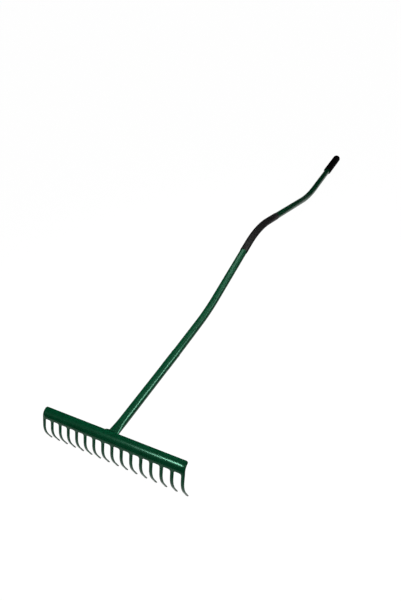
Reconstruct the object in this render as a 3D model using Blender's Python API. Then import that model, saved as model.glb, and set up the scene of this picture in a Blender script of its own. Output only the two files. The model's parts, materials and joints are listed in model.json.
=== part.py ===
"""Garden rake: a pressed steel head with sixteen tines on a cranked steel tube handle with plastic grips.

Metres, +Z up. The rake lies on a floor at z = 0, on its tine tips and its end grip, as it is put down.
Every section below is drawn in the plane X = 0, with y measured from the tine tips towards the end grip.
The whole rake is then moved along Y so that the origin is under the middle of its length.
"""
import math

import bmesh
import bpy

# Clearance between two pieces that touch
FIT_GAP = 0.0003

# Head: one steel sheet, blanked into tines and rolled back into a flange along its top
SHEET_THICKNESS = 0.0023
TINE_COUNT = 16
TINE_PITCH = 0.0265
TINE_ROOT_WIDTH = 0.0082
TINE_TIP_WIDTH = 0.0058
GAP_CORNER_RADIUS = 0.0042
TIP_LEAN = math.radians(13.0)
TIP_LENGTH = 0.016
TINE_CURVE_RADIUS = 0.0446
TINE_CURVE_TURN = math.radians(41.0)
TINE_STRAIGHT_LENGTH = 0.0175
WEB_HEIGHT = 0.0058
FLANGE_RADIUS = 0.0209
FLANGE_TURN = math.radians(52.7)
LIP_LENGTH = 0.0043
LIP_CORNER_RADIUS = 0.0046

# Handle: round steel tube in two lengths, the lower one a socket that is welded to the head
TUBE_DIAMETER = 0.0222
TUBE_WALL = 0.0012
SOCKET_AXIS_HEIGHT = 0.0673
FOOT_WIDTH = 0.0284
FOOT_HEIGHT = 0.0138
FOOT_TOP_DROP = 0.0013
FOOT_TAPER_START = 0.030
FOOT_TAPER_END = 0.070
SOCKET_END = 0.302
SOCKET_FLARE_LENGTH = 0.055
SOCKET_FLARE_DIAMETER = 0.0229
SOCKET_MOUTH_DIAMETER = 0.0237
SOCKET_MOUTH_LENGTH = 0.005
SPIGOT_LENGTH = 0.045
SPIGOT_SHOULDER_LENGTH = 0.003

# Handle line: a slight set above the socket, then three bends, each given by its corner and its radius
SET_ABOVE_MOUTH = 0.008
SET_RADIUS = 0.30
RISE_AT = 0.475
RISE_HEIGHT = 0.0698
RISE_RADIUS = 0.66
CREST_AT = 0.8385
CREST_HEIGHT = 0.1330
CREST_RADIUS = 0.357
FALL_AT = 1.292
FALL_RADIUS = 0.55

# Grips: a thin sleeve over the crest and a moulded grip on the end, which rests on the floor
SLEEVE_BEFORE_CREST = 0.115
SLEEVE_AFTER_CREST = 0.140
SLEEVE_GAP = 0.0002
SLEEVE_WALL = 0.00055
GRIP_END = 1.669
GRIP_LENGTH = 0.141
GRIP_DIAMETER = 0.0298
GRIP_END_ROUND = 0.012
GRIP_END_WALL = 0.005
GRIP_MOUTH_CHAMFER = 0.0008
TUBE_END_CLEARANCE = 0.001

# Welds: one bead over the foot, laid along the lip's edge, and a fillet on each side of the foot
LIP_WELD_LEFT = 0.0165
LIP_WELD_RIGHT = 0.011
LIP_WELD_LEG = 0.0036
LIP_WELD_CROWN = 0.0003
SIDE_WELD_LOW = math.radians(-35.0)
SIDE_WELD_HIGH = math.radians(45.0)
SIDE_WELD_LEG = 0.0030
BEAD_END_SHARE = 0.07

# Smoothness of the round shapes
TUBE_SIDES = 32
BEND_STEP = math.radians(2.5)
TINE_CURVE_STEPS = 7
FLANGE_STEPS = 7
CORNER_STEPS = 4
FOOT_STEPS = 6
GRIP_END_STEPS = 6
WELD_STEPS = 10
BEAD_ARC_STEPS = 3
SHEET_SAMPLES = 400
SHARP_ANGLE = math.radians(40.0)

# Halvings that find a place on the handle's axis, and decimals of a metre to which shared corners agree
PLACE_HALVINGS = 50
CORNER_DECIMALS = 7


class Line:
    """A plane line of straight runs and round bends, starting at (y, z) with the given heading."""

    def __init__(self, y, z, heading):
        self.start = (y, z, heading)
        self.pieces = []
        self.length = 0.0

    def run(self, length):
        self.pieces.append((length, 0.0))
        self.length += length

    def bend(self, radius, turn):
        arc = radius * abs(turn)
        self.pieces.append((arc, turn))
        self.length += arc

    def at(self, distance):
        """Position and heading at a distance along the line; past its ends the line goes straight on."""
        y, z, heading = self.start
        left = distance
        for index, (length, turn) in enumerate(self.pieces):
            last = index == len(self.pieces) - 1
            step = left if last or left < length else length
            if turn == 0.0 or length == 0.0 or step < 0.0:
                y += step * math.cos(heading)
                z += step * math.sin(heading)
            else:
                part = turn * step / length
                radius = length / turn
                y += radius * (math.sin(heading + part) - math.sin(heading))
                z += radius * (math.cos(heading) - math.cos(heading + part))
                heading += part
            left -= step
            if left <= 0.0:
                break
        return y, z, heading


def tine_line():
    """The sheet's middle line, from a tine's tip on the floor up to the edge of the lip."""
    line = Line(0.0, 0.0, math.pi / 2 + TIP_LEAN)
    line.run(TIP_LENGTH)
    line.bend(TINE_CURVE_RADIUS, -TINE_CURVE_TURN)
    line.run(TINE_STRAIGHT_LENGTH)
    line.run(WEB_HEIGHT)
    line.bend(FLANGE_RADIUS, -FLANGE_TURN)
    line.run(LIP_LENGTH)
    return line


SECTION = tine_line()
GAP_TOP = TIP_LENGTH + TINE_CURVE_RADIUS * TINE_CURVE_TURN + TINE_STRAIGHT_LENGTH
LIP_START = SECTION.length - LIP_LENGTH
HALF_HEAD = (TINE_COUNT - 1) * TINE_PITCH / 2 + TINE_ROOT_WIDTH / 2


def handle_corners():
    """The corners of the handle's line and the headings of its five straight runs."""
    corners = [
        (SOCKET_END + SET_ABOVE_MOUTH, SOCKET_AXIS_HEIGHT),
        (RISE_AT, RISE_HEIGHT),
        (CREST_AT, CREST_HEIGHT),
        (FALL_AT, GRIP_DIAMETER / 2),
    ]
    headings = [0.0]
    for (y0, z0), (y1, z1) in zip(corners, corners[1:]):
        headings.append(math.atan2(z1 - z0, y1 - y0))
    headings.append(0.0)
    return corners, headings


def handle_line():
    """The handle's axis, from over the tine tips to the end of the grip, which lies level on the floor."""
    corners, headings = handle_corners()
    radii = [SET_RADIUS, RISE_RADIUS, CREST_RADIUS, FALL_RADIUS]
    line = Line(0.0, SOCKET_AXIS_HEIGHT, 0.0)
    previous = (0.0, SOCKET_AXIS_HEIGHT)
    used = 0.0
    for index, (corner, radius) in enumerate(zip(corners, radii)):
        turn = headings[index + 1] - headings[index]
        tangent = radius * abs(math.tan(turn / 2))
        line.run(math.dist(previous, corner) - used - tangent)
        line.bend(radius, turn)
        previous = corner
        used = tangent
    line.run(GRIP_END - FALL_AT - used)
    return line


HANDLE = handle_line()


def along_handle(y):
    """Distance along the handle's axis at which it passes a given y."""
    low, high = 0.0, HANDLE.length
    for _ in range(PLACE_HALVINGS):
        middle = (low + high) / 2
        if HANDLE.at(middle)[0] < y:
            low = middle
        else:
            high = middle
    return (low + high) / 2


def handle_stations(start, end):
    """Distances from start to end that cut each bend into even steps."""
    stations = [start]
    passed = 0.0
    for length, turn in HANDLE.pieces:
        count = max(1, math.ceil(abs(turn) / BEND_STEP))
        for step in range(count + 1):
            distance = passed + length * step / count
            if start + FIT_GAP < distance < end - FIT_GAP and distance > stations[-1] + FIT_GAP:
                stations.append(distance)
        passed += length
    stations.append(end)
    return stations


def sheet_point(distance, side):
    """A point of the sheet's surface: side is +1 on the front, -1 on the back. Tips are trimmed level."""
    y, z, heading = SECTION.at(distance)
    offset = side * SHEET_THICKNESS / 2
    y -= offset * math.sin(heading)
    z += offset * math.cos(heading)
    if distance == 0.0:
        y -= z / math.tan(heading)
        z = 0.0
    return y, z


def back_line():
    """The sheet's back, moved off by the fit gap and followed round the lip's edge, from low to high."""
    reach = SHEET_THICKNESS / 2 + FIT_GAP
    points = []
    for step in range(SHEET_SAMPLES + 1):
        y, z, heading = SECTION.at(SECTION.length * step / SHEET_SAMPLES)
        points.append((y + reach * math.sin(heading), z - reach * math.cos(heading)))
    y, z, heading = SECTION.at(SECTION.length + FIT_GAP)
    points.append((y + reach * math.sin(heading), z - reach * math.cos(heading)))
    points.append((y - reach * math.sin(heading), z + reach * math.cos(heading)))
    return points


BACK = back_line()


def back_y(z):
    """The y just behind the sheet at a height z."""
    for (y0, z0), (y1, z1) in zip(BACK, BACK[1:]):
        if z0 <= z <= z1:
            return y0 + (y1 - y0) * (z - z0) / (z1 - z0)
    return BACK[0][0] if z < BACK[0][1] else BACK[-1][0]


# The origin lies under the middle of the length, from the foremost bulge of the tines to the grip's end
FRONT_Y = min(sheet_point(SECTION.length * step / SHEET_SAMPLES, 1)[0] for step in range(SHEET_SAMPLES + 1))
MIDDLE_Y = (FRONT_Y + GRIP_END) / 2


def place(x, y, z):
    """A drawn point in the rake's own frame."""
    return (x, y - MIDDLE_Y, z)


def paint(name, colour, roughness, coat):
    """A Principled material, not metallic at its surface, with a clear coat on gloss paint."""
    material = bpy.data.materials.new(name)
    material.use_nodes = True
    shader = material.node_tree.nodes["Principled BSDF"]
    shader.inputs["Base Color"].default_value = (*colour, 1.0)
    shader.inputs["Metallic"].default_value = 0.0
    shader.inputs["Roughness"].default_value = roughness
    shader.inputs["Coat Weight"].default_value = coat
    material.diffuse_color = (*colour, 1.0)
    return material


def finish(bm, name, material):
    """Turns a bmesh into a shaded object of its own."""
    bmesh.ops.recalc_face_normals(bm, faces=bm.faces)
    mesh = bpy.data.meshes.new(name)
    bm.to_mesh(mesh)
    bm.free()
    mesh.materials.append(material)
    mesh.shade_smooth()
    mesh.set_sharp_from_angle(angle=SHARP_ANGLE)
    thing = bpy.data.objects.new(name, mesh)
    bpy.context.scene.collection.objects.link(thing)
    return thing


def ring(bm, distance, half_width, half_height, lift=0.0):
    """A closed loop of vertices square to the handle's axis, lifted along its normal."""
    y, z, heading = HANDLE.at(distance)
    loop = []
    for side in range(TUBE_SIDES):
        angle = 2 * math.pi * side / TUBE_SIDES
        across = half_width * math.cos(angle)
        up = lift + half_height * math.sin(angle)
        loop.append(bm.verts.new(place(across, y - up * math.sin(heading), z + up * math.cos(heading))))
    return loop


def skin(bm, rings):
    """Quads between each ring of vertices and the next."""
    for lower, upper in zip(rings, rings[1:]):
        for index in range(len(lower)):
            following = (index + 1) % len(lower)
            bm.faces.new((lower[index], lower[following], upper[following], upper[index]))


def pipe(bm, stations, outer, inner):
    """A hollow tube along the handle's axis; outer and inner give the radius at a distance."""
    outside = [ring(bm, distance, outer(distance), outer(distance)) for distance in stations]
    inside = [ring(bm, distance, inner(distance), inner(distance)) for distance in stations]
    skin(bm, outside)
    skin(bm, inside)
    skin(bm, [outside[0], inside[0]])
    skin(bm, [outside[-1], inside[-1]])


def tine_half_width(distance, inner_side):
    """Half a tine's width, which grows to its root and into the round corner at the top of a gap."""
    half = (TINE_TIP_WIDTH + (TINE_ROOT_WIDTH - TINE_TIP_WIDTH) * distance / GAP_TOP) / 2
    below = GAP_TOP - distance
    if inner_side and below < GAP_CORNER_RADIUS:
        half += GAP_CORNER_RADIUS - math.sqrt(GAP_CORNER_RADIUS**2 - (GAP_CORNER_RADIUS - below) ** 2)
    return half


def head_end(distance):
    """Half the head's width on the plate, less the round corner of the lip."""
    above = distance - (SECTION.length - LIP_CORNER_RADIUS)
    if above <= 0.0:
        return HALF_HEAD
    return HALF_HEAD - LIP_CORNER_RADIUS + math.sqrt(max(0.0, LIP_CORNER_RADIUS**2 - above**2))


def rake_head(material):
    """The pressed sheet: a flat blank of tines and plate, bent along the section line."""
    curve_end = TIP_LENGTH + TINE_CURVE_RADIUS * TINE_CURVE_TURN
    tine_rows = [0.0]
    for step in range(TINE_CURVE_STEPS + 1):
        tine_rows.append(TIP_LENGTH + (curve_end - TIP_LENGTH) * step / TINE_CURVE_STEPS)
    for step in range(CORNER_STEPS + 1):
        angle = math.pi / 2 * step / CORNER_STEPS
        tine_rows.append(GAP_TOP - GAP_CORNER_RADIUS * (1 - math.sin(angle)))

    plate_rows = [GAP_TOP]
    for step in range(FLANGE_STEPS + 1):
        plate_rows.append(GAP_TOP + WEB_HEIGHT + (LIP_START - GAP_TOP - WEB_HEIGHT) * step / FLANGE_STEPS)
    for step in range(CORNER_STEPS + 1):
        angle = math.pi / 2 * step / CORNER_STEPS
        plate_rows.append(SECTION.length - LIP_CORNER_RADIUS * (1 - math.sin(angle)))

    centres = [(index - (TINE_COUNT - 1) / 2) * TINE_PITCH for index in range(TINE_COUNT)]

    def tine_edges(index, distance):
        left = tine_half_width(distance, index > 0)
        right = tine_half_width(distance, index < TINE_COUNT - 1)
        return centres[index] - left, centres[index] + right

    def plate_columns(distance):
        columns = []
        for index in range(TINE_COUNT):
            columns.extend(tine_edges(index, GAP_TOP))
        columns[0] = -head_end(distance)
        columns[-1] = head_end(distance)
        return columns

    cells = []
    for low, high in zip(plate_rows, plate_rows[1:]):
        below = plate_columns(low)
        above = plate_columns(high)
        for index in range(len(below) - 1):
            left0, right0 = below[index:index + 2]
            left1, right1 = above[index:index + 2]
            cells.append(((low, left0), (low, right0), (high, right1), (high, left1)))
    for index in range(TINE_COUNT):
        for low, high in zip(tine_rows, tine_rows[1:]):
            left0, right0 = tine_edges(index, low)
            left1, right1 = tine_edges(index, high)
            cells.append(((low, left0), (low, right0), (high, right1), (high, left1)))

    bm = bmesh.new()
    corners = {}
    for side in (1, -1):
        for cell in cells:
            for distance, x in cell:
                key = (side, round(distance, CORNER_DECIMALS), round(x, CORNER_DECIMALS))
                if key not in corners:
                    corners[key] = bm.verts.new(place(x, *sheet_point(distance, side)))
    edges = {}
    for cell in cells:
        keys = [(round(distance, CORNER_DECIMALS), round(x, CORNER_DECIMALS)) for distance, x in cell]
        bm.faces.new([corners[(1, *key)] for key in keys])
        bm.faces.new([corners[(-1, *key)] for key in reversed(keys)])
        for start, end in zip(keys, keys[1:] + keys[:1]):
            pair = frozenset((start, end))
            edges[pair] = edges.get(pair, 0) + 1
    for pair, count in edges.items():
        if count == 1:
            start, end = pair
            rim = ((1, start), (1, end), (-1, end), (-1, start))
            bm.faces.new([corners[(side, *key)] for side, key in rim])
    return finish(bm, "rake_head", material)


def foot_shape(y):
    """Half width, half height and lift of the socket's outside: pressed oval at the head, round past it."""
    radius = TUBE_DIAMETER / 2
    share = min(1.0, max(0.0, (y - FOOT_TAPER_START) / (FOOT_TAPER_END - FOOT_TAPER_START)))
    share = share * share * (3 - 2 * share)
    _, lip_z, heading = SECTION.at(SECTION.length)
    foot_top = lip_z - SHEET_THICKNESS / 2 * math.cos(heading) - FOOT_TOP_DROP
    foot_lift = foot_top - FOOT_HEIGHT / 2 - SOCKET_AXIS_HEIGHT
    half_width = FOOT_WIDTH / 2 + (radius - FOOT_WIDTH / 2) * share
    half_height = FOOT_HEIGHT / 2 + (radius - FOOT_HEIGHT / 2) * share
    return half_width, half_height, foot_lift * (1 - share)


def foot_ring(bm, inset):
    """The loop where the socket's foot meets the sheet's back, inset from its outside by a wall or none."""
    half_width, half_height, lift = foot_shape(0.0)
    loop = []
    for side in range(TUBE_SIDES):
        angle = 2 * math.pi * side / TUBE_SIDES
        x = (half_width - inset) * math.cos(angle)
        z = SOCKET_AXIS_HEIGHT + lift + (half_height - inset) * math.sin(angle)
        loop.append(bm.verts.new(place(x, back_y(z), z)))
    return loop


def head_socket(material):
    """The lower tube: pressed oval and cut to the sheet's back at its foot, opened out at its mouth."""
    radius = TUBE_DIAMETER / 2
    mouth_start = SOCKET_END - SOCKET_MOUTH_LENGTH
    flare_start = SOCKET_END - SOCKET_FLARE_LENGTH
    flare_end = flare_start + SOCKET_MOUTH_LENGTH
    bm = bmesh.new()
    outside = [foot_ring(bm, 0.0)]
    inside = [foot_ring(bm, TUBE_WALL)]
    for step in range(FOOT_STEPS + 1):
        y = FOOT_TAPER_START + (FOOT_TAPER_END - FOOT_TAPER_START) * step / FOOT_STEPS
        half_width, half_height, lift = foot_shape(y)
        distance = along_handle(y)
        outside.append(ring(bm, distance, half_width, half_height, lift))
        inside.append(ring(bm, distance, half_width - TUBE_WALL, half_height - TUBE_WALL, lift))
    flare = SOCKET_FLARE_DIAMETER / 2
    mouth = SOCKET_MOUTH_DIAMETER / 2
    for y, size, bore in (
        (flare_start, radius, radius - TUBE_WALL),
        (flare_end, flare, flare - TUBE_WALL),
        (mouth_start, flare, flare - TUBE_WALL),
        ((mouth_start + SOCKET_END) / 2, mouth, flare - TUBE_WALL),
        (SOCKET_END, mouth, flare - TUBE_WALL),
    ):
        distance = along_handle(y)
        outside.append(ring(bm, distance, size, size))
        inside.append(ring(bm, distance, bore, bore))
    skin(bm, outside)
    skin(bm, inside)
    skin(bm, [outside[0], inside[0]])
    skin(bm, [outside[-1], inside[-1]])
    return finish(bm, "head_socket", material)


def bead_size(share):
    """How full a weld bead is at a share of its length: 1 in the middle, with blunt ends."""
    return math.sqrt(math.sin(math.pi * (BEAD_END_SHARE + (1 - 2 * BEAD_END_SHARE) * share)))


def bead_section():
    """A bead's section, as shares of its depth and its height: a root corner and a quarter round."""
    section = [(0.0, 0.0)]
    for step in range(BEAD_ARC_STEPS + 1):
        angle = math.pi / 2 * step / BEAD_ARC_STEPS
        section.append((math.cos(angle), math.sin(angle)))
    return section


def weld_bead(name, sections, material):
    """A closed bar through a row of sections, each a list of points."""
    bm = bmesh.new()
    loops = [[bm.verts.new(place(*point)) for point in section] for section in sections]
    skin(bm, loops)
    bm.faces.new(list(reversed(loops[0])))
    bm.faces.new(loops[-1])
    return finish(bm, name, material)


def lip_weld(material):
    """The bead over the foot's top, along the edge of the lip and on past the foot's left side."""
    half_width, half_height, lift = foot_shape(0.0)
    lip_y, lip_z, heading = SECTION.at(SECTION.length)
    half_sheet = SHEET_THICKNESS / 2
    root_y = lip_y + half_sheet * math.sin(heading) + FIT_GAP
    sections = []
    for step in range(2 * WELD_STEPS + 1):
        share = step / (2 * WELD_STEPS)
        x = -LIP_WELD_LEFT + (LIP_WELD_LEFT + LIP_WELD_RIGHT) * share
        size = bead_size(share)
        foot_top = SOCKET_AXIS_HEIGHT + lift + half_height * math.sqrt(max(0.0, 1 - (x / half_width) ** 2))
        low = max(foot_top + FIT_GAP, lip_z - half_sheet)
        height = lip_z + half_sheet + LIP_WELD_CROWN * size - low
        leg = LIP_WELD_LEG * size
        sections.append([(x, root_y + along * leg, low + up * height) for along, up in bead_section()])
    return weld_bead("lip_weld", sections, material)


def side_weld(name, side, material):
    """A fillet under the lip, between the foot's side and the sheet's back."""
    half_width, half_height, lift = foot_shape(0.0)
    sections = []
    for step in range(WELD_STEPS + 1):
        share = step / WELD_STEPS
        angle = SIDE_WELD_LOW + (SIDE_WELD_HIGH - SIDE_WELD_LOW) * share
        leg = SIDE_WELD_LEG * bead_size(share)
        steepness = math.hypot(math.cos(angle) / half_width, math.sin(angle) / half_height)
        out_x = math.cos(angle) / half_width / steepness
        out_z = math.sin(angle) / half_height / steepness
        section = []
        for along, away in bead_section():
            x = half_width * math.cos(angle) + out_x * (FIT_GAP + away * leg)
            z = SOCKET_AXIS_HEIGHT + lift + half_height * math.sin(angle) + out_z * (FIT_GAP + away * leg)
            section.append((side * x, back_y(z) + along * leg, z))
        sections.append(section)
    return weld_bead(name, sections, material)


def handle_tube(material):
    """The long bent tube, reduced at its foot to a spigot that fits the socket."""
    start = along_handle(SOCKET_END - SPIGOT_LENGTH)
    shoulder = along_handle(SOCKET_END) + FIT_GAP
    full = shoulder + SPIGOT_SHOULDER_LENGTH
    end = along_handle(GRIP_END - GRIP_END_WALL - TUBE_END_CLEARANCE)
    radius = TUBE_DIAMETER / 2
    spigot = SOCKET_FLARE_DIAMETER / 2 - TUBE_WALL - FIT_GAP

    def outer(distance):
        share = min(1.0, max(0.0, (distance - shoulder) / SPIGOT_SHOULDER_LENGTH))
        return spigot + (radius - spigot) * share

    stations = [start, shoulder] + handle_stations(full, end)
    bm = bmesh.new()
    pipe(bm, stations, outer, lambda distance: outer(distance) - TUBE_WALL)
    return finish(bm, "handle_tube", material)


def mid_grip(material):
    """The thin plastic sleeve shrunk over the handle's crest."""
    inner = TUBE_DIAMETER / 2 + SLEEVE_GAP
    start = along_handle(CREST_AT - SLEEVE_BEFORE_CREST)
    end = along_handle(CREST_AT + SLEEVE_AFTER_CREST)
    bm = bmesh.new()
    pipe(bm, handle_stations(start, end), lambda distance: inner + SLEEVE_WALL, lambda distance: inner)
    return finish(bm, "mid_grip", material)


def end_grip(material):
    """The moulded grip: a round tube with a rounded end and a blind bore for the handle tube."""
    radius = GRIP_DIAMETER / 2
    bore = TUBE_DIAMETER / 2 + SLEEVE_GAP
    start = along_handle(GRIP_END - GRIP_LENGTH)
    end = along_handle(GRIP_END)
    bm = bmesh.new()
    outside = [
        ring(bm, start, radius - GRIP_MOUTH_CHAMFER, radius - GRIP_MOUTH_CHAMFER),
        ring(bm, start + GRIP_MOUTH_CHAMFER, radius, radius),
    ]
    for step in range(GRIP_END_STEPS):
        angle = math.pi / 2 * step / GRIP_END_STEPS
        size = radius * math.cos(angle)
        outside.append(ring(bm, end - GRIP_END_ROUND + GRIP_END_ROUND * math.sin(angle), size, size))
    pole_y, pole_z, _ = HANDLE.at(end)
    pole = bm.verts.new(place(0.0, pole_y, pole_z))
    inside = [ring(bm, start, bore, bore), ring(bm, end - GRIP_END_WALL, bore, bore)]
    skin(bm, outside)
    skin(bm, inside)
    skin(bm, [outside[0], inside[0]])
    last = outside[-1]
    for index in range(TUBE_SIDES):
        bm.faces.new((last[index], last[(index + 1) % TUBE_SIDES], pole))
    bm.faces.new(inside[-1])
    return finish(bm, "end_grip", material)


def main():
    for thing in list(bpy.data.objects):
        bpy.data.objects.remove(thing)
    green = paint("green_enamel", colour=(0.004, 0.052, 0.026), roughness=0.3, coat=0.5)
    sleeve = paint("charcoal_vinyl", colour=(0.018, 0.017, 0.017), roughness=0.6, coat=0.0)
    rubber = paint("black_rubber", colour=(0.006, 0.006, 0.006), roughness=0.7, coat=0.0)
    rake_head(green)
    head_socket(green)
    lip_weld(green)
    side_weld("side_weld_left", -1, green)
    side_weld("side_weld_right", 1, green)
    handle_tube(green)
    mid_grip(sleeve)
    end_grip(rubber)


main()
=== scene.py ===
"""The looks of the garden rake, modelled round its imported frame.

Metres, +Z up. The rake lies on its tine tips and its end grip, with the head towards -Y.
Each section below makes one piece, or one group of like pieces, in the order in which the rake is put
together. Places along the socket, the handle and its grips are measured from the tine tips.
"""
import json
import math

import bmesh
import bpy
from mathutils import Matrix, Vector


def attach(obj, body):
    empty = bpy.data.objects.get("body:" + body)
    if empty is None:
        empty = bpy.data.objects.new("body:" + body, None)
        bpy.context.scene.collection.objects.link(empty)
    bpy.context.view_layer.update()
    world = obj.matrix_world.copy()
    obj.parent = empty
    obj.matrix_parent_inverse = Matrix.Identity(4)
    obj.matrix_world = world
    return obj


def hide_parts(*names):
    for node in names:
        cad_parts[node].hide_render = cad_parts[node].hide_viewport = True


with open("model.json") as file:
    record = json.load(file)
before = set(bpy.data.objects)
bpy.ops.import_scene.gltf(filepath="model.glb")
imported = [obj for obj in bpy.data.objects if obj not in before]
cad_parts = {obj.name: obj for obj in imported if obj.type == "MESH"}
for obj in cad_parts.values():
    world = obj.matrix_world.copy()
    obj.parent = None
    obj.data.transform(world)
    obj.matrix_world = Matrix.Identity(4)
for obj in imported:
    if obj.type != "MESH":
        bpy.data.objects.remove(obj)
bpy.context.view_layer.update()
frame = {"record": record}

# The head is one sheet of steel, 2.3 mm thick. It is blanked into sixteen tines, which are curved forward.
# Its upper part is rolled back into a flange that ends in a short flat lip. Dark green enamel covers all of
# it, and the tines' tips are worn grey by the soil.
SHEET = 0.0023
TINES = 16
PITCH = 0.0265
TIP_WIDTH = 0.0058
ROOT_WIDTH = 0.0082
ROOT_FILLET = 0.0042
TIP_BELOW_FLOOR = 0.003
TIP_HEADING = math.radians(103.0)
TIP_RUN = 0.016
TINE_RADIUS = 0.0446
TINE_TURN = math.radians(-41.0)
TINE_BEND_STEPS = 16
STRAIGHT_RUN = 0.0175
FILLET_STEPS = 6
WEB = 0.0058
FLANGE_RADIUS = 0.0209
FLANGE_TURN = math.radians(-52.7)
FLANGE_STEPS = 16
LIP = 0.0043
LIP_CORNER = 0.0046
LIP_CORNER_STEPS = 6
SHEARED_EDGE = 0.00035
EDGE_STEPS = 2
EDGE_ANGLE = math.radians(50.0)
ROUND_PROFILE = 0.5
TINE_SEAM = 0.00005
TOUCHING = 0.00001
DOUBLED_POINTS = 0.000001
SHARP = math.radians(35.0)
TIP_X, TIP_Y, _ = frame["record"]["mounts"][0]["pos_m"]
HEAD_HALF = -TIP_X + ROOT_WIDTH / 2

ENAMEL = (0.0010, 0.0560, 0.0210)
ENAMEL_DARK = (0.0006, 0.0460, 0.0165)
ENAMEL_IOR = 1.20
ENAMEL_SPECULAR = 1.0
ENAMEL_TINT = (0.40, 1.0, 0.71, 1.0)
HEAD_ROUGHNESS = 0.20
CLOUD_WAVES = 38.0
CLOUD_DETAIL = 3.0
CLOUD_LOW = 0.38
CLOUD_HIGH = 0.62
SMEAR_WAVES = 60.0
SMEAR_DETAIL = 2.0
SMEAR_LOW = 0.3
SMEAR_HIGH = 0.7
SMEAR_SPREAD = 0.1
PEEL_WAVES = 420.0
PEEL_DETAIL = 2.0
PEEL_DEPTH = 0.000004
WORN_STEEL = (0.060, 0.062, 0.055)
WORN_HEIGHT = 0.010
WORN_LOW = -0.1
WORN_HIGH = 0.25
WORN_ROUGHNESS = 0.5
SCUFF_WAVES = 420.0
SCUFF_DETAIL = 4.0


def node(tree, kind, x, y, **settings):
    """Adds a shader node at a place in the tree, with its settings."""
    made = tree.nodes.new(kind)
    made.location = (x, y)
    for name, value in settings.items():
        setattr(made, name, value)
    return made


def noise(tree, scale, detail, x, y):
    """A noise texture on the piece's own coordinates; scale is in waves per metre."""
    place = node(tree, "ShaderNodeTexCoord", x - 200, y)
    texture = node(tree, "ShaderNodeTexNoise", x, y)
    texture.inputs["Scale"].default_value = scale
    texture.inputs["Detail"].default_value = detail
    tree.links.new(place.outputs["Object"], texture.inputs["Vector"])
    return texture


def ramp(tree, source, low, high, from_value, to_value, x, y):
    """Stretches a value from one range to another, clamped at both ends."""
    stretch = node(tree, "ShaderNodeMapRange", x, y, clamp=True)
    stretch.inputs["From Min"].default_value = low
    stretch.inputs["From Max"].default_value = high
    stretch.inputs["To Min"].default_value = from_value
    stretch.inputs["To Max"].default_value = to_value
    tree.links.new(source, stretch.inputs["Value"])
    return stretch.outputs["Result"]


def mix(tree, share, first, second, x, y):
    """Mixes two colours, each a tuple or another node's output, by a share."""
    blend = node(tree, "ShaderNodeMix", x, y, data_type="RGBA")
    tree.links.new(share, blend.inputs["Factor"])
    for entry, value in ((blend.inputs[6], first), (blend.inputs[7], second)):
        if isinstance(value, tuple):
            entry.default_value = (*value, 1.0)
        else:
            tree.links.new(value, entry)
    return blend.outputs[2]


def bump(tree, shader, height, strength, depth, x, y):
    """Gives a shader a bump from a height."""
    relief = node(tree, "ShaderNodeBump", x, y)
    relief.inputs["Strength"].default_value = strength
    relief.inputs["Distance"].default_value = depth
    tree.links.new(height, relief.inputs["Height"])
    tree.links.new(relief.outputs["Normal"], shader.inputs["Normal"])


def finish_of(name, roughness):
    """A new material, with its node tree and its Principled shader."""
    material = bpy.data.materials.new(name)
    material.use_nodes = True
    tree = material.node_tree
    shader = tree.nodes["Principled BSDF"]
    shader.inputs["Roughness"].default_value = roughness
    return material, tree, shader


def enamel(name, roughness, worn_height=0.0, waves=PEEL_WAVES, depth=PEEL_DEPTH):
    """Gloss enamel with an orange peel and a cloudy depth of colour, worn to grey steel near the floor."""
    material, tree, shader = finish_of(name, roughness)
    shader.inputs["IOR"].default_value = ENAMEL_IOR
    shader.inputs["Specular IOR Level"].default_value = ENAMEL_SPECULAR
    shader.inputs["Specular Tint"].default_value = ENAMEL_TINT
    clouds = noise(tree, CLOUD_WAVES, CLOUD_DETAIL, -900, 300)
    share = ramp(tree, clouds.outputs["Fac"], CLOUD_LOW, CLOUD_HIGH, 0.0, 1.0, -700, 300)
    colour = mix(tree, share, ENAMEL, ENAMEL_DARK, -450, 300)
    if worn_height > 0.0:
        place = node(tree, "ShaderNodeTexCoord", -1500, 0)
        split = node(tree, "ShaderNodeSeparateXYZ", -1300, 0)
        tree.links.new(place.outputs["Object"], split.inputs["Vector"])
        scuffs = noise(tree, SCUFF_WAVES, SCUFF_DETAIL, -1300, -200)
        reach = node(tree, "ShaderNodeMath", -1080, -60, operation="MULTIPLY_ADD")
        reach.inputs[1].default_value = -worn_height
        tree.links.new(scuffs.outputs["Fac"], reach.inputs[0])
        tree.links.new(split.outputs["Z"], reach.inputs[2])
        low = WORN_LOW * worn_height
        high = WORN_HIGH * worn_height
        worn = ramp(tree, reach.outputs["Value"], low, high, 1.0, 0.0, -880, -60)
        colour = mix(tree, worn, colour, WORN_STEEL, -260, 200)
        gloss = ramp(tree, worn, 0.0, 1.0, roughness, WORN_ROUGHNESS, -450, -60)
    else:
        smears = noise(tree, SMEAR_WAVES, SMEAR_DETAIL, -900, 0)
        least = (1 - SMEAR_SPREAD) * roughness
        most = (1 + SMEAR_SPREAD) * roughness
        gloss = ramp(tree, smears.outputs["Fac"], SMEAR_LOW, SMEAR_HIGH, least, most, -450, 0)
    tree.links.new(gloss, shader.inputs["Roughness"])
    tree.links.new(colour, shader.inputs["Base Color"])
    peel = noise(tree, waves, PEEL_DETAIL, -900, -400)
    bump(tree, shader, peel.outputs["Fac"], 1.0, depth, -450, -400)
    return material


def open_piece(name):
    """Names the primitive just added, puts its place into its mesh and opens it for editing."""
    piece = bpy.context.object
    piece.name = name
    piece.data.name = name
    bpy.ops.object.transform_apply(location=True, rotation=True, scale=True)
    bpy.ops.object.mode_set(mode="EDIT")
    return piece


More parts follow.
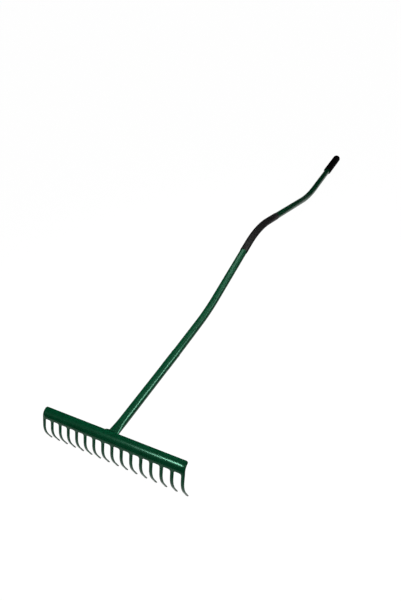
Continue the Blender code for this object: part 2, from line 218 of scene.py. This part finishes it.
def pick(what, test):
    """Selects the open mesh's verts, edges or faces that pass a test, and nothing else."""
    bpy.ops.mesh.select_all(action="DESELECT")
    bpy.ops.mesh.select_mode(type=what)
    mesh = bmesh.from_edit_mesh(bpy.context.object.data)
    kinds = {"VERT": mesh.verts, "EDGE": mesh.edges, "FACE": mesh.faces}
    for item in kinds[what]:
        item.select_set(test(item))
    mesh.select_flush_mode()
    bmesh.update_edit_mesh(bpy.context.object.data)


def modify(kind, **settings):
    """Adds a modifier to the active piece, sets it and applies it."""
    bpy.ops.object.modifier_add(type=kind)
    modifier = bpy.context.object.modifiers[-1]
    for name, value in settings.items():
        setattr(modifier, name, value)
    bpy.ops.object.modifier_apply(modifier=modifier.name)


def close_piece(material, slot, *nodes):
    """Ends the work on the active piece: shades and paints it, and puts it in place of its CAD nodes."""
    piece = bpy.context.object
    if bpy.context.mode == "EDIT_MESH":
        bpy.ops.object.mode_set(mode="OBJECT")
    bpy.ops.object.shade_smooth_by_angle(angle=SHARP)
    piece.data.materials.clear()
    piece.data.materials.append(material)
    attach(piece, "root")
    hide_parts(*nodes)


def climb(length, heading, ratio=1.0):
    """Extrudes the picked edge up the sheet's section, and widens the new edge by a ratio."""
    step = (0.0, length * math.cos(heading), length * math.sin(heading))
    bpy.ops.mesh.extrude_region_move(TRANSFORM_OT_translate={"value": step})
    if ratio != 1.0:
        bpy.ops.transform.resize(value=(ratio, 1.0, 1.0), center_override=(TIP_X, 0.0, 0.0))


def roll(radius, turn, heading, steps, ratio=1.0):
    """Climbs round a bend in even steps and returns the heading after it."""
    bend = turn / steps
    for _ in range(steps):
        climb(2 * radius * math.sin(abs(bend) / 2), heading + bend / 2, ratio)
        heading += bend
    return heading


start_y = TIP_Y - TIP_BELOW_FLOOR / 2 * math.cos(TIP_HEADING)
start_z = -TIP_BELOW_FLOOR / 2 * math.sin(TIP_HEADING)
bpy.ops.object.select_all(action="DESELECT")
bpy.ops.mesh.primitive_plane_add(
    size=1.0,
    location=(TIP_X, start_y, start_z),
    rotation=(TIP_HEADING, 0.0, 0.0),
)
bpy.context.object.scale = (TIP_WIDTH, TIP_BELOW_FLOOR, 1.0)
head = open_piece("pressed_head")
pick("EDGE", lambda edge: all(vert.co.z > start_z for vert in edge.verts))

tine_length = TIP_RUN + TINE_RADIUS * abs(TINE_TURN) + STRAIGHT_RUN


def tine_width(distance):
    """The tine's width at a distance from its tip, before the root's fillet."""
    return TIP_WIDTH + (ROOT_WIDTH - TIP_WIDTH) * distance / tine_length


climb(TIP_RUN, TIP_HEADING, tine_width(TIP_RUN) / TIP_WIDTH)
bend_end = TIP_RUN + TINE_RADIUS * abs(TINE_TURN)
bend_ratio = (tine_width(bend_end) / tine_width(TIP_RUN)) ** (1 / TINE_BEND_STEPS)
plate_heading = roll(TINE_RADIUS, TINE_TURN, TIP_HEADING, TINE_BEND_STEPS, bend_ratio)
fillet_start = tine_length - ROOT_FILLET
climb(fillet_start - bend_end, plate_heading, tine_width(fillet_start) / tine_width(bend_end))
row_width = tine_width(fillet_start)
row_rise = 0.0
for step in range(1, FILLET_STEPS + 1):
    angle = math.pi / 2 * step / FILLET_STEPS
    rise = ROOT_FILLET * math.sin(angle)
    width = tine_width(fillet_start + rise) + 2 * ROOT_FILLET * (1 - math.cos(angle))
    climb(rise - row_rise, plate_heading, width / row_width)
    row_width, row_rise = width, rise
climb(WEB, plate_heading)
lip_heading = roll(FLANGE_RADIUS, FLANGE_TURN, plate_heading, FLANGE_STEPS)
climb(LIP, lip_heading)

root_half = row_width / 2
for side in (-1, 1):
    root_x = TIP_X + side * root_half
    pick("EDGE", lambda edge: all(abs(vert.co.x - root_x) < TOUCHING for vert in edge.verts))
    to_next = side * (PITCH / 2 - root_half)
    bpy.ops.mesh.extrude_region_move(TRANSFORM_OT_translate={"value": (to_next, 0.0, 0.0)})
bpy.ops.object.mode_set(mode="OBJECT")
modify(
    "ARRAY",
    count=TINES,
    use_relative_offset=False,
    use_constant_offset=True,
    constant_offset_displace=(PITCH, 0.0, 0.0),
    use_merge_vertices=True,
    merge_threshold=TINE_SEAM,
)
bpy.ops.object.mode_set(mode="EDIT")
for side in (-1, 1):
    bpy.ops.mesh.select_all(action="SELECT")
    bpy.ops.mesh.bisect(plane_co=(side * HEAD_HALF, 0.0, 0.0), plane_no=(side, 0.0, 0.0), clear_outer=True)
lip_edge = max(vert.co.y for vert in bmesh.from_edit_mesh(head.data).verts)
pick("VERT", lambda vert: vert.co.y > lip_edge - TOUCHING and abs(vert.co.x) > HEAD_HALF - TOUCHING)
bpy.ops.mesh.bevel(offset=LIP_CORNER, affect="VERTICES", segments=LIP_CORNER_STEPS, profile=ROUND_PROFILE)
bpy.ops.mesh.select_all(action="SELECT")
bpy.ops.mesh.normals_make_consistent(inside=False)
bpy.ops.object.mode_set(mode="OBJECT")
modify("SOLIDIFY", thickness=SHEET, offset=0.0, use_even_offset=True)
bpy.ops.object.mode_set(mode="EDIT")
bpy.ops.mesh.select_all(action="SELECT")
bpy.ops.mesh.bisect(plane_co=(0.0, 0.0, 0.0), plane_no=(0.0, 0.0, 1.0), clear_inner=True, use_fill=True)
bpy.ops.mesh.select_all(action="SELECT")
bpy.ops.mesh.normals_make_consistent(inside=False)
bpy.ops.object.mode_set(mode="OBJECT")
modify("BEVEL", width=SHEARED_EDGE, segments=EDGE_STEPS, limit_method="ANGLE", angle_limit=EDGE_ANGLE)
modify("WELD", merge_threshold=DOUBLED_POINTS)
close_piece(enamel("enamel_on_head", HEAD_ROUGHNESS, worn_height=WORN_HEIGHT), "green_enamel", "rake_head")

# The socket is a length of steel tube, pressed oval at its foot and cut to the sheet's back, under the lip.
# Its upper end is opened out and rolled to a small bead, so that the handle can be pushed in. It has the
# head's enamel.
TUBE_RADIUS = 0.0111
TUBE_WALL = 0.0012
SOCKET_HEIGHT = 0.0673
SOCKET_LENGTH = 0.302
FOOT_HALF_WIDTH = 0.0142
FOOT_HALF_HEIGHT = 0.0069
FOOT_DROP = 0.0013
TAPER_START = 0.030
TAPER_END = 0.070
TAPER_STEPS = 10
FLARE_START = 0.247
FLARE_RUN = 0.005
FLARE_RADIUS = 0.01145
MOUTH_RADIUS = 0.01185
MOUTH_START = 0.297
ROUND_SIDES = 72
FIT_GAP = 0.0003
RIM_EDGE = 0.0003
SAME_HEIGHT = 0.000002
HEIGHT_DECIMALS = 6
TUBE_ROUGHNESS = 0.27


def sheet_back(height):
    """The y just behind the flange's back, at a height: a circle about the middle of the flange's bend."""
    web_y, web_z = web_top
    centre_y = web_y + FLANGE_RADIUS * math.sin(plate_heading)
    centre_z = web_z - FLANGE_RADIUS * math.cos(plate_heading)
    reach = FLANGE_RADIUS - SHEET / 2 - FIT_GAP
    above = height - centre_z
    return centre_y - math.sqrt(max(0.0, reach ** 2 - above ** 2))


def section_end(parts):
    """Where straight runs and bends, each (length or radius, turn), lead from a tine's tip."""
    y, z, heading = TIP_Y, 0.0, TIP_HEADING
    for size, turn in parts:
        if turn == 0.0:
            y += size * math.cos(heading)
            z += size * math.sin(heading)
        else:
            chord = 2 * size * math.sin(abs(turn) / 2)
            y += chord * math.cos(heading + turn / 2)
            z += chord * math.sin(heading + turn / 2)
            heading += turn
    return y, z


web_parts = [(TIP_RUN, 0.0), (TINE_RADIUS, TINE_TURN), (STRAIGHT_RUN + WEB, 0.0)]
web_top = section_end(web_parts)
lip_y, lip_z = section_end(web_parts + [(FLANGE_RADIUS, FLANGE_TURN), (LIP, 0.0)])
foot_top = lip_z - SHEET / 2 * math.cos(lip_heading) - FOOT_DROP
foot_lift = foot_top - FOOT_HALF_HEIGHT - SOCKET_HEIGHT


def open_ring(name, y, z, radius, heading=0.0):
    """Starts a tube as a ring square to a heading, and leaves it picked."""
    bpy.ops.object.select_all(action="DESELECT")
    bpy.ops.mesh.primitive_circle_add(
        vertices=ROUND_SIDES,
        radius=radius,
        location=(0.0, TIP_Y + y, z),
        rotation=(math.pi / 2 + heading, 0.0, 0.0),
    )
    piece = open_piece(name)
    bpy.ops.mesh.select_mode(type="EDGE")
    bpy.ops.mesh.select_all(action="SELECT")
    return piece


def next_ring(y, half_width, half_height, middle_z):
    """Extrudes the picked ring along the tool to a place, width, height and middle of its own."""
    mesh = bmesh.from_edit_mesh(bpy.context.object.data)
    ring = [vert.co for vert in mesh.verts if vert.select]
    now_y = sum(co.y for co in ring) / len(ring)
    now_z = (max(co.z for co in ring) + min(co.z for co in ring)) / 2
    now_width = max(co.x for co in ring)
    now_height = max(co.z for co in ring) - now_z
    move = (0.0, TIP_Y + y - now_y, middle_z - now_z)
    bpy.ops.mesh.extrude_region_move(TRANSFORM_OT_translate={"value": move})
    ratio = (half_width / now_width, 1.0, half_height / now_height)
    bpy.ops.transform.resize(value=ratio, center_override=(0.0, TIP_Y + y, middle_z))


def round_ring(y, radius):
    """Extrudes the picked ring along the socket's straight line to a round of its own."""
    next_ring(y, radius, radius, SOCKET_HEIGHT)


def give_wall(thickness):
    """Turns the open tube's faces outwards, gives it a wall on its inside and softens its rims."""
    bpy.ops.mesh.select_all(action="SELECT")
    bpy.ops.mesh.fill_holes(sides=0)
    bpy.ops.mesh.select_all(action="SELECT")
    bpy.ops.mesh.normals_make_consistent(inside=False)
    pick("FACE", lambda face: len(face.verts) > 4)
    bpy.ops.mesh.delete(type="ONLY_FACE")
    bpy.ops.object.mode_set(mode="OBJECT")
    modify("SOLIDIFY", thickness=thickness, offset=-1.0, use_even_offset=True)
    modify("BEVEL", width=RIM_EDGE, segments=EDGE_STEPS, limit_method="ANGLE", angle_limit=EDGE_ANGLE)


foot_place = TAPER_START / 2
foot_middle = (0.0, TIP_Y + foot_place, SOCKET_HEIGHT + foot_lift)
socket = open_ring("socket_tube", foot_place, SOCKET_HEIGHT + foot_lift, TUBE_RADIUS)
oval = (FOOT_HALF_WIDTH / TUBE_RADIUS, 1.0, FOOT_HALF_HEIGHT / TUBE_RADIUS)
bpy.ops.transform.resize(value=oval, center_override=foot_middle)
next_ring(TAPER_START, FOOT_HALF_WIDTH, FOOT_HALF_HEIGHT, SOCKET_HEIGHT + foot_lift)
for step in range(1, TAPER_STEPS + 1):
    share = step / TAPER_STEPS
    eased = share * share * (3 - 2 * share)
    next_ring(
        TAPER_START + (TAPER_END - TAPER_START) * share,
        FOOT_HALF_WIDTH + (TUBE_RADIUS - FOOT_HALF_WIDTH) * eased,
        FOOT_HALF_HEIGHT + (TUBE_RADIUS - FOOT_HALF_HEIGHT) * eased,
        SOCKET_HEIGHT + foot_lift * (1 - eased),
    )
round_ring(FLARE_START, TUBE_RADIUS)
round_ring(FLARE_START + FLARE_RUN / 2, (TUBE_RADIUS + FLARE_RADIUS) / 2)
round_ring(FLARE_START + FLARE_RUN, FLARE_RADIUS)
round_ring(MOUTH_START, FLARE_RADIUS)
round_ring((MOUTH_START + SOCKET_LENGTH) / 2, MOUTH_RADIUS)
round_ring(SOCKET_LENGTH, MOUTH_RADIUS)
foot_limit = TIP_Y + foot_place + TOUCHING
foot_heights = sorted({
    round(vert.co.z, HEIGHT_DECIMALS)
    for vert in bmesh.from_edit_mesh(socket.data).verts
    if vert.co.y < foot_limit
})
for height in foot_heights:
    pick("VERT", lambda vert: vert.co.y < foot_limit and abs(vert.co.z - height) < SAME_HEIGHT)
    bpy.ops.transform.translate(value=(0.0, sheet_back(height) - TIP_Y - foot_place, 0.0))
give_wall(TUBE_WALL)
tube_enamel = enamel("enamel_on_tube", TUBE_ROUGHNESS)
close_piece(tube_enamel, "green_enamel", "head_socket")

# The welds are three short beads of steel. One runs along the lip's edge over the foot, further on the left,
# and one fills the corner on each side of the foot. They were laid by hand, so they are lumpy, and are
# enamelled over.
BEAD_SIDES = 7
BEAD_CORNER = 0.97
BEAD_END = 0.03
RIPPLE = 0.05
RIPPLE_PITCH = 0.0032
LIP_BEAD_LEFT = 0.0165
LIP_BEAD_RIGHT = 0.011
LIP_BEAD_LEG = 0.0036
LIP_BEAD_CROWN = 0.0003
LIP_BEAD_STEPS = 44
SIDE_BEAD_LOW = math.radians(-35.0)
SIDE_BEAD_HIGH = math.radians(45.0)
SIDE_BEAD_LEG = 0.0030
SIDE_BEAD_RUN = 0.011
SIDE_BEAD_STEPS = 20
LUMP_WAVES = 700.0
LUMP_DEPTH = 0.00012


def fullness(share, run):
    """How full a bead is at a share of its run: it swells in from both ends, and it ripples."""
    swell = math.sqrt(math.sin(math.pi * (BEAD_END + (1 - 2 * BEAD_END) * share)))
    return swell * (1 + RIPPLE * math.sin(2 * math.pi * share * run / RIPPLE_PITCH))


def start_bead(name, root, forward, up):
    """Starts a bead as a quarter round with its corner at the root, and leaves that section picked."""
    bpy.ops.object.select_all(action="DESELECT")
    bpy.ops.mesh.primitive_plane_add(size=1.0, location=(0.0, 0.5, 0.5), rotation=(0.0, math.pi / 2, 0.0))
    open_piece(name)
    pick("VERT", lambda vert: vert.co.y > 0.5 and vert.co.z > 0.5)
    bpy.ops.mesh.bevel(offset=BEAD_CORNER, affect="VERTICES", segments=BEAD_SIDES, profile=ROUND_PROFILE)
    bpy.ops.mesh.select_mode(type="FACE")
    bpy.ops.mesh.select_all(action="SELECT")
    bpy.ops.transform.resize(value=(1.0, forward, up), center_override=(0.0, 0.0, 0.0))
    bpy.ops.transform.translate(value=root)


def next_section(root, new_root, ratio):
    """Extrudes the picked section of a bead to a new root and resizes it there."""
    move = tuple(new - old for new, old in zip(new_root, root))
    bpy.ops.mesh.extrude_region_move(TRANSFORM_OT_translate={"value": move})
    bpy.ops.transform.resize(value=ratio, center_override=new_root)


def end_bead(node_name):
    """Turns a finished bead's faces outwards and puts it in place of its CAD node."""
    bpy.ops.mesh.select_all(action="SELECT")
    bpy.ops.mesh.normals_make_consistent(inside=False)
    close_piece(weld_enamel, "green_enamel", node_name)


def lip_section(share):
    """The root, the leg along the tool and the height of the lip's bead at a share of its run."""
    run = LIP_BEAD_LEFT + LIP_BEAD_RIGHT
    x = -LIP_BEAD_LEFT + run * share
    over_foot = foot_lift + FOOT_HALF_HEIGHT * math.sqrt(max(0.0, 1 - (x / FOOT_HALF_WIDTH) ** 2))
    low = max(SOCKET_HEIGHT + over_foot + FIT_GAP, lip_z - SHEET / 2)
    full = fullness(share, run)
    height = lip_z + SHEET / 2 + LIP_BEAD_CROWN * full - low
    return (x, lip_y + SHEET / 2 * math.sin(lip_heading) + FIT_GAP, low), LIP_BEAD_LEG * full, height


def side_section(side, share):
    """A side bead's root, the way that it faces round the foot's oval, and its leg at a share of its run."""
    angle = SIDE_BEAD_LOW + (SIDE_BEAD_HIGH - SIDE_BEAD_LOW) * share
    facing = math.atan2(math.sin(angle) / FOOT_HALF_HEIGHT, math.cos(angle) / FOOT_HALF_WIDTH)
    x = FOOT_HALF_WIDTH * math.cos(angle) + FIT_GAP * math.cos(facing)
    z = SOCKET_HEIGHT + foot_lift + FOOT_HALF_HEIGHT * math.sin(angle) + FIT_GAP * math.sin(facing)
    return (side * x, sheet_back(z), z), facing, SIDE_BEAD_LEG * fullness(share, SIDE_BEAD_RUN)


weld_enamel = enamel("enamel_on_welds", TUBE_ROUGHNESS, waves=LUMP_WAVES, depth=LUMP_DEPTH)
root, leg, height = lip_section(0.0)
start_bead("foot_bead", root, leg, height)
for step in range(1, LIP_BEAD_STEPS + 1):
    new_root, new_leg, new_height = lip_section(step / LIP_BEAD_STEPS)
    next_section(root, new_root, (1.0, new_leg / leg, new_height / height))
    root, leg, height = new_root, new_leg, new_height
end_bead("lip_weld")
for name, side in (("left", -1), ("right", 1)):
    root, facing, leg = side_section(side, 0.0)
    start_bead(name + "_fillet", root, leg, leg)
    bpy.ops.transform.rotate(value=side * (facing - math.pi / 2), orient_axis="Y", center_override=root)
    for step in range(1, SIDE_BEAD_STEPS + 1):
        new_root, new_facing, new_leg = side_section(side, step / SIDE_BEAD_STEPS)
        next_section(root, new_root, (new_leg / leg, new_leg / leg, new_leg / leg))
        twist = side * (new_facing - facing)
        bpy.ops.transform.rotate(value=twist, orient_axis="Y", center_override=new_root)
        root, facing, leg = new_root, new_facing, new_leg
    end_bead("side_weld_" + name)

# The handle is one long steel tube of 22.2 mm, reduced at its foot to a spigot that is pushed into the
# socket. It is bent in four places, each given here by its corner's place and height and its radius: it
# rises in two steps to a crest, falls to the floor and runs level into the end grip.
SPIGOT_LENGTH = 0.045
SPIGOT_SHOULDER = 0.003
SPIGOT_RADIUS = FLARE_RADIUS - TUBE_WALL - FIT_GAP
HANDLE_END = 1.663
GRIP_RADIUS = 0.0149
BENDS = [
    (0.310, SOCKET_HEIGHT, 0.30),
    (0.475, 0.0698, 0.66),
    (0.8385, 0.133, 0.357),
    (1.292, GRIP_RADIUS, 0.55),
]
BEND_STEP = math.radians(1.0)

corners = [(0.0, SOCKET_HEIGHT, 0.0), *BENDS, (HANDLE_END, GRIP_RADIUS, 0.0)]
headings = [math.atan2(z2 - z1, y2 - y1) for (y1, z1, _), (y2, z2, _) in zip(corners, corners[1:])]
turns = [0.0, *(after - before for before, after in zip(headings, headings[1:])), 0.0]


def follow_handle(start_y, end_y):
    """Draws the picked ring along the handle between two places: extruded straight, and spun round bends."""
    for index, heading in enumerate(headings):
        y, z, radius = corners[index + 1]
        back = radius * math.tan(abs(turns[index + 1]) / 2)
        leg_end = y - back * math.cos(heading)
        if leg_end <= start_y:
            continue
        last_y, _, last_radius = corners[index]
        leg_start = last_y + last_radius * math.tan(abs(turns[index]) / 2) * math.cos(heading)
        length = min(end_y, leg_end) - max(start_y, leg_start)
        bpy.ops.mesh.extrude_region_move(
            TRANSFORM_OT_translate={"value": (0.0, length, length * math.tan(heading))}
        )
        if end_y <= leg_end:
            return
        turn = turns[index + 1]
        arm = math.copysign(radius, turn)
        bpy.ops.mesh.spin(
            steps=max(2, round(abs(turn) / BEND_STEP)),
            angle=-turn,
            center=(
                0.0,
                TIP_Y + leg_end - arm * math.sin(heading),
                z - back * math.sin(heading) + arm * math.cos(heading),
            ),
            axis=(1.0, 0.0, 0.0),
        )


open_ring("bent_handle", SOCKET_LENGTH - SPIGOT_LENGTH, SOCKET_HEIGHT, SPIGOT_RADIUS)
round_ring(SOCKET_LENGTH + FIT_GAP, SPIGOT_RADIUS)
round_ring(SOCKET_LENGTH + FIT_GAP + SPIGOT_SHOULDER, TUBE_RADIUS)
follow_handle(SOCKET_LENGTH + FIT_GAP + SPIGOT_SHOULDER, HANDLE_END)
give_wall(TUBE_WALL)
close_piece(tube_enamel, "green_enamel", "handle_tube")

# The middle grip is a thin sleeve of charcoal vinyl, shrunk over the handle's crest. Its surface is matt and
# evenly grained, and it has no seam that shows.
SLEEVE_GAP = 0.0002
SLEEVE_WALL = 0.00055
SLEEVE_START = 0.7235
SLEEVE_END = 0.9785
VINYL_DARK = (0.0055, 0.0050, 0.0050)
VINYL_LIGHT = (0.0090, 0.0085, 0.0085)
VINYL_IOR = 1.2
VINYL_ROUGHNESS = 0.50
VINYL_WAVES = 900.0
GRAIN_DETAIL = 3.0
GRAIN_LOW = 0.35
GRAIN_HIGH = 0.65
GRAIN_STRENGTH = 0.6
GRAIN_DEPTH = 0.00006


def grained(name, dark, light, ior, roughness, waves):
    """A matt material with a fine, even grain in two tones and in relief; waves is in waves per metre."""
    material, tree, shader = finish_of(name, roughness)
    shader.inputs["IOR"].default_value = ior
    grain = noise(tree, waves, GRAIN_DETAIL, -900, 0)
    tone = ramp(tree, grain.outputs["Fac"], GRAIN_LOW, GRAIN_HIGH, 0.0, 1.0, -700, 200)
    tree.links.new(mix(tree, tone, dark, light, -400, 200), shader.inputs["Base Color"])
    bump(tree, shader, grain.outputs["Fac"], GRAIN_STRENGTH, GRAIN_DEPTH, -400, -200)
    return material


vinyl = grained("grained_vinyl", VINYL_DARK, VINYL_LIGHT, VINYL_IOR, VINYL_ROUGHNESS, VINYL_WAVES)
rise_y, rise_z, _ = BENDS[1]
open_ring(
    "crest_sleeve",
    SLEEVE_START,
    rise_z + (SLEEVE_START - rise_y) * math.tan(headings[2]),
    TUBE_RADIUS + SLEEVE_GAP + SLEEVE_WALL,
    headings[2],
)
follow_handle(SLEEVE_START, SLEEVE_END)
give_wall(SLEEVE_WALL)
close_piece(vinyl, "charcoal_vinyl", "mid_grip")

# The end grip is moulded in black rubber, with a blind bore that is pushed over the tube's end and a round
# end for the palm. Its surface is soft and matt, and its mouth is chamfered.
GRIP_START = 1.528
GRIP_END = 1.669
GRIP_CHAMFER = 0.0008
GRIP_ROUND = 0.012
GRIP_ROUND_STEPS = 12
BORE_END = 1.664
RUBBER_DARK = (0.0007, 0.0007, 0.0007)
RUBBER_LIGHT = (0.0018, 0.0017, 0.0016)
RUBBER_IOR = 1.10
RUBBER_ROUGHNESS = 0.75
RUBBER_WAVES = 1200.0

rubber = grained("matt_rubber", RUBBER_DARK, RUBBER_LIGHT, RUBBER_IOR, RUBBER_ROUGHNESS, RUBBER_WAVES)
open_ring("moulded_grip", GRIP_START, GRIP_RADIUS, GRIP_RADIUS - GRIP_CHAMFER)
next_ring(GRIP_START + GRIP_CHAMFER, GRIP_RADIUS, GRIP_RADIUS, GRIP_RADIUS)
for step in range(GRIP_ROUND_STEPS):
    angle = math.pi / 2 * step / GRIP_ROUND_STEPS
    radius = GRIP_RADIUS * math.cos(angle)
    next_ring(GRIP_END - GRIP_ROUND * (1 - math.sin(angle)), radius, radius, GRIP_RADIUS)
next_ring(GRIP_END, radius / 2, radius / 2, GRIP_RADIUS)
bpy.ops.mesh.merge(type="CENTER")
pick("VERT", lambda vert: vert.co.y < TIP_Y + GRIP_START + TOUCHING)
bore_radius = TUBE_RADIUS + SLEEVE_GAP
next_ring(GRIP_START, bore_radius, bore_radius, GRIP_RADIUS)
next_ring(BORE_END, bore_radius, bore_radius, GRIP_RADIUS)
next_ring(BORE_END, bore_radius / 2, bore_radius / 2, GRIP_RADIUS)
bpy.ops.mesh.merge(type="CENTER")
bpy.ops.mesh.select_all(action="SELECT")
bpy.ops.mesh.normals_make_consistent(inside=False)
close_piece(rubber, "black_rubber", "end_grip")

# The floor is a wide white sheet that the rake lies on. The camera and the rake's gloss see its even glow,
# on which a weak matt part keeps the soft shadow. For all other light it is pale paper, which throws some
# back at the rake from below.
FLOOR_SIZE = 600.0
FLOOR_BELOW = 0.0002
FLOOR_GLOW = 0.975
FLOOR_SHADE = (0.08, 0.08, 0.08, 1.0)
FLOOR_PAPER = (0.55, 0.55, 0.55, 1.0)
bpy.ops.object.select_all(action="DESELECT")
bpy.ops.mesh.primitive_plane_add(size=FLOOR_SIZE, location=(0.0, 0.0, -FLOOR_BELOW))
floor = bpy.context.object
floor.name = "studio_floor"
floor_paint = bpy.data.materials.new("white_floor")
floor_paint.use_nodes = True
floor_tree = floor_paint.node_tree
floor_tree.nodes.remove(floor_tree.nodes["Principled BSDF"])
floor_out = floor_tree.nodes["Material Output"]
seen = node(floor_tree, "ShaderNodeLightPath", -900, 400)
either = node(floor_tree, "ShaderNodeMath", -700, 400, operation="MAXIMUM")
floor_tree.links.new(seen.outputs["Is Camera Ray"], either.inputs[0])
floor_tree.links.new(seen.outputs["Is Glossy Ray"], either.inputs[1])
any_of = node(floor_tree, "ShaderNodeMath", -500, 400, operation="MAXIMUM")
floor_tree.links.new(either.outputs["Value"], any_of.inputs[0])
floor_tree.links.new(seen.outputs["Is Transmission Ray"], any_of.inputs[1])
glow = node(floor_tree, "ShaderNodeEmission", -500, 200)
glow.inputs["Strength"].default_value = FLOOR_GLOW
shadowed = node(floor_tree, "ShaderNodeBsdfDiffuse", -500, 60)
shadowed.inputs["Color"].default_value = FLOOR_SHADE
bright = node(floor_tree, "ShaderNodeAddShader", -300, 140)
floor_tree.links.new(glow.outputs["Emission"], bright.inputs[0])
floor_tree.links.new(shadowed.outputs["BSDF"], bright.inputs[1])
paper = node(floor_tree, "ShaderNodeBsdfDiffuse", -300, -60)
paper.inputs["Color"].default_value = FLOOR_PAPER
choose = node(floor_tree, "ShaderNodeMixShader", -100, 200)
floor_tree.links.new(any_of.outputs["Value"], choose.inputs[0])
floor_tree.links.new(paper.outputs["BSDF"], choose.inputs[1])
floor_tree.links.new(bright.outputs["Shader"], choose.inputs[2])
floor_tree.links.new(choose.outputs["Shader"], floor_out.inputs["Surface"])
floor.data.materials.append(floor_paint)

# The air round the studio is white at the horizon, where it meets the floor, and falls to a dark grey
# overhead, so that the gloss has a dark sky to show between the strips.
AIR_LOW = 1.0
AIR_HIGH = 0.04
AIR_WHITE_TOP = math.sin(math.radians(14.0))
AIR_GLOW_TOP = math.sin(math.radians(38.0))
world = bpy.data.worlds.new("studio_air")
bpy.context.scene.world = world
world.use_nodes = True
air_tree = world.node_tree
air = air_tree.nodes["Background"]
air.inputs["Strength"].default_value = 1.0
looking = node(air_tree, "ShaderNodeTexCoord", -900, 0)
split = node(air_tree, "ShaderNodeSeparateXYZ", -700, 0)
air_tree.links.new(looking.outputs["Generated"], split.inputs["Vector"])
climb_share = node(air_tree, "ShaderNodeMapRange", -500, 0, interpolation_type="SMOOTHSTEP")
climb_share.inputs["From Min"].default_value = AIR_WHITE_TOP
climb_share.inputs["From Max"].default_value = AIR_GLOW_TOP
climb_share.inputs["To Min"].default_value = AIR_LOW
climb_share.inputs["To Max"].default_value = AIR_HIGH
air_tree.links.new(split.outputs["Z"], climb_share.inputs["Value"])
air_tree.links.new(climb_share.outputs["Result"], air.inputs["Color"])

# Three standing black boards and a lying one keep the gloss of the head and the edges of the handle dark.
# Only reflections show them. Each has its place, its width and height, and the way that it is turned.
BOARDS = {
    "front_board": ((-0.525, -1.15, 0.14), 1.55, 0.28, (math.pi / 2, 0.0, 0.0)),
    "far_board": ((0.1, 1.30, 0.6), 4.6, 1.2, (math.pi / 2, 0.0, 0.0)),
    "left_board": ((-0.55, 0.15, 0.30), 2.3, 0.60, (math.pi / 2, 0.0, math.pi / 2)),
    "lying_board": ((0.39, 0.25, 0.0005), 0.62, 2.1, (0.0, 0.0, 0.0)),
}
black = bpy.data.materials.new("black_board")
black.use_nodes = True
black_shader = black.node_tree.nodes["Principled BSDF"]
black_shader.inputs["Base Color"].default_value = (0.0, 0.0, 0.0, 1.0)
black_shader.inputs["Specular IOR Level"].default_value = 0.0
for name, (place, width, height, turn) in BOARDS.items():
    bpy.ops.object.select_all(action="DESELECT")
    bpy.ops.mesh.primitive_plane_add(size=1.0, location=place, rotation=turn)
    board = bpy.context.object
    board.name = name
    board.scale = (width, height, 1.0)
    bpy.ops.object.transform_apply(location=True, rotation=True, scale=True)
    board.data.materials.append(black)
    board.visible_camera = False
    board.visible_diffuse = False
    board.visible_transmission = False
    board.visible_shadow = False

# Three softboxes light the rake from the front and from above, and its gloss doesn't show them. Five strips
# light nothing: they are there for the bright bands that they make in the gloss.
AIM = (0.0, -0.55, 0.07)


def softbox(name, place, width, height, power, strip=False):
    """An area light that faces the rake's head end. A strip lights nothing and only shows in the gloss."""
    bpy.ops.object.light_add(type="AREA", location=place)
    lamp = bpy.context.object
    lamp.name = name
    lamp.data.shape = "RECTANGLE"
    lamp.data.size = width
    lamp.data.size_y = height
    lamp.data.energy = power
    lamp.rotation_euler = (Vector(AIM) - Vector(place)).to_track_quat("-Z", "Y").to_euler()
    lamp.visible_camera = False
    lamp.visible_diffuse = not strip
    lamp.visible_glossy = strip


softbox("low_front_softbox", (-0.37, -2.64, 0.64), 0.9, 0.9, 1.6)
softbox("head_softbox", (0.0, -0.6, 0.8), 0.5, 0.5, 4.2)
softbox("rise_softbox", (0.0, -0.1, 0.8), 0.5, 0.5, 1.6)
softbox("rise_strip", (0.08, 0.03, 0.45), 0.5, 0.15, 1.3, strip=True)
softbox("overhead_strip", (0.65, 0.52, 1.85), 1.2, 0.35, 3.1, strip=True)
softbox("right_strip", (1.43, -0.09, 0.66), 0.42, 0.42, 25.0, strip=True)
softbox("far_right_strip", (1.65, 0.48, 0.72), 0.55, 0.50, 11.5, strip=True)
softbox("head_strip", (-0.70, -1.96, 1.68), 0.45, 0.36, 38.0, strip=True)

# The camera looks down on the rake from the front right. Its place, turn and lens were worked out so that
# the tines, the bends and the grips stand in the picture where the photograph has them.
CAMERA_PLACE = (0.64664, -1.21611, 0.89382)
CAMERA_PITCH = math.radians(53.250)
CAMERA_ROLL = math.radians(10.885)
CAMERA_YAW = math.radians(29.580)
LENS_MM = 28.924
SENSOR_MM = 36.0
FARTHEST_SEEN = 2000.0
bpy.ops.object.camera_add(location=CAMERA_PLACE, rotation=(CAMERA_PITCH, CAMERA_ROLL, CAMERA_YAW))
camera = bpy.context.object
camera.name = "studio_camera"
camera.data.lens = LENS_MM
camera.data.sensor_width = SENSOR_MM
camera.data.clip_end = FARTHEST_SEEN
scene = bpy.context.scene
scene.camera = camera
scene.view_settings.view_transform = "Standard"
